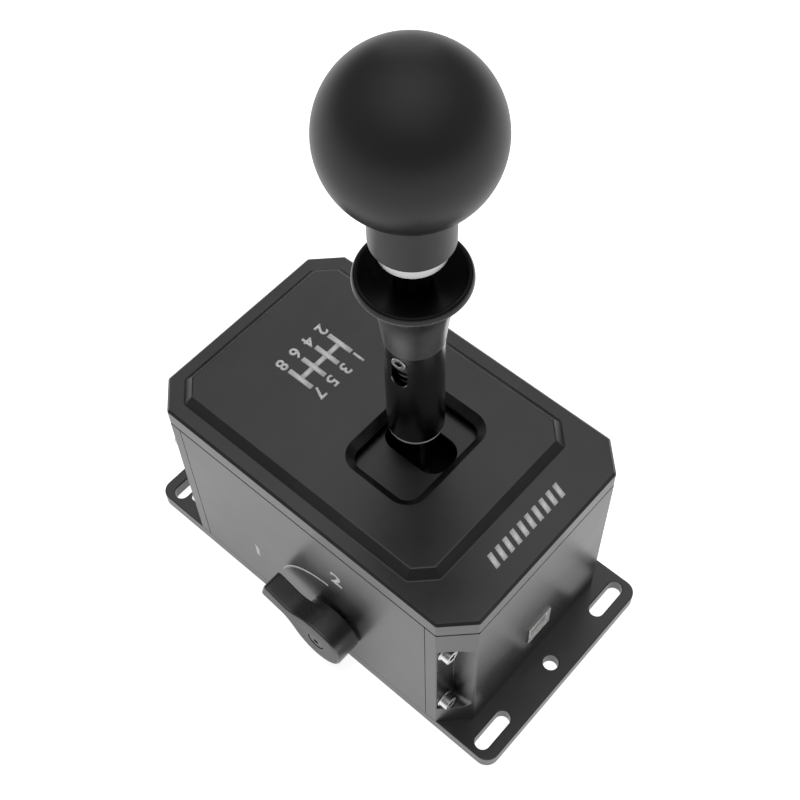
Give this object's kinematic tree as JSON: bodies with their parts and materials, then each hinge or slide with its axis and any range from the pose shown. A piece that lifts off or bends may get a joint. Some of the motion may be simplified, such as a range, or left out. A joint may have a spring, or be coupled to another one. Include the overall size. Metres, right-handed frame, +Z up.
{
  "type": "sim racing gear shifter",
  "caption": "Desk-mounted gear shifter: black box on a slotted base plate, lever with ball knob and trumpet lift ring through a top pocket, side mode selector, data socket at the end.",
  "frame": {"origin": "middle of the base plate's underside", "axes": "+Z up along the lever, +X to the mode selector's side, +Y to the data socket's end"},
  "size_m": [0.1008, 0.17, 0.2533],
  "materials": {
    "anodised": "satin black anodised",
    "sleeve_black": "glossy black anodised",
    "collar_grey": "satin grey anodised",
    "neck_grey": "satin dark grey anodised",
    "bare_aluminium": "milled",
    "steel": "bright",
    "dark_steel": "black oxide",
    "black_chrome": "polished dark",
    "insert_silver": "turned silver",
    "ball_black": "matte",
    "selector_grey": "soft satin",
    "brass": "turned",
    "board_green": "coated board",
    "chip_black": "moulded",
    "socket_white": "moulded",
    "rail_white": "low-friction plastic",
    "magnet": "plated",
    "dust_black": "matte"
  },
  "bodies": {
    "housing": {"base_plate": "anodised", "front_block": "anodised", "rear_block": "anodised", "left_panel": "anodised", "right_panel": "anodised", "top_cover": "anodised", "corner_screws": "steel", "base_screws": "dark_steel", "cover_screws": "dark_steel", "front_bracket": "bare_aluminium", "rear_bracket": "bare_aluminium", "bracket_screws": "dark_steel", "select_bearings": "steel", "detent_block": "brass", "detent_screws": "dark_steel", "plunger_guide": "bare_aluminium", "guide_block_screws": "dark_steel", "front_rail": "rail_white", "rear_rail": "rail_white", "rail_screws": "dark_steel", "control_board": "board_green", "board_chips": "chip_black", "board_screws": "steel", "usb_shell": "steel", "usb_insulator": "socket_white", "select_sensor": "board_green", "mode_bush": "brass", "slide_screws": "steel"},
    "gimbal": {"gimbal_frame": "bare_aluminium", "select_axles": "steel", "select_cam": "brass", "select_magnet": "magnet", "shift_bushes": "brass", "shift_sensor": "board_green"},
    "lever": {"lever_hub": "bare_aluminium", "shift_axle": "steel", "shift_magnet": "magnet", "lever_shaft": "black_chrome", "guide_ring": "dark_steel", "guide_screw": "steel", "knob_insert": "insert_silver", "knob_neck": "neck_grey", "ball_knob": "ball_black"},
    "lift_ring": {"lift_collar": "collar_grey", "lift_sleeve": "sleeve_black", "sleeve_cap": "steel", "lift_spring": "steel"},
    "shift_detent": {"shift_plunger": "steel", "shift_spring": "steel"},
    "select_detent": {"select_plunger": "steel", "select_spring": "steel"},
    "selector": {"mode_knob": "selector_grey", "mode_spindle": "steel", "mode_screw": "dark_steel"},
    "selector_slide": {"mode_slide": "bare_aluminium"},
    "dust_slide": {"dust_plate": "dust_black"}
  },
  "joints": [
    {"name": "lever_select", "type": "hinge", "parent": "housing", "child": "gimbal", "pos_m": [-0.00475, 0.00925, 0.05], "axis": [0, 1, 0], "range_deg": [-6, 12]},
    {"name": "lever_shift", "type": "hinge", "parent": "gimbal", "child": "lever", "pos_m": [-0.00475, 0.00925, 0.05], "axis": [1, 0, 0], "range_deg": [-5.5, 5.5]},
    {"name": "ring_lift", "type": "slide", "parent": "lever", "child": "lift_ring", "axis": [0, 0, 1], "range_m": [0, 0.0085], "stiffness_N_per_m": 600, "springref_m": -0.004, "deforming": ["lift_spring"]},
    {"name": "shift_plunge", "type": "slide", "parent": "lever", "child": "shift_detent", "axis": [0, 0, -1], "range_m": [0, 0.0008], "stiffness_N_per_m": 500, "springref_m": 0.004, "deforming": ["shift_spring"]},
    {"name": "select_plunge", "type": "slide", "parent": "housing", "child": "select_detent", "axis": [-1, 0, 0], "range_m": [0, 0.0007], "stiffness_N_per_m": 500, "springref_m": 0.004, "deforming": ["select_spring"]},
    {"name": "mode_turn", "type": "hinge", "parent": "housing", "child": "selector", "pos_m": [0.04475, 0.0135, 0.0253], "axis": [-1, 0, 0], "range_deg": [0, 70]},
    {"name": "mode_shift", "type": "slide", "parent": "housing", "child": "selector_slide", "axis": [0, 1, 0], "range_m": [0, 0.01033]},
    {"name": "dust_shift", "type": "slide", "parent": "housing", "child": "dust_slide", "axis": [1, 0, 0], "range_m": [-0.0038, 0.0076]}
  ],
  "couplings": [
    {"joint": "mode_shift", "follows": "mode_turn", "m_per_rad": 0.0084506},
    {"joint": "dust_shift", "follows": "lever_select", "m_per_rad": 0.0363}
  ]
}
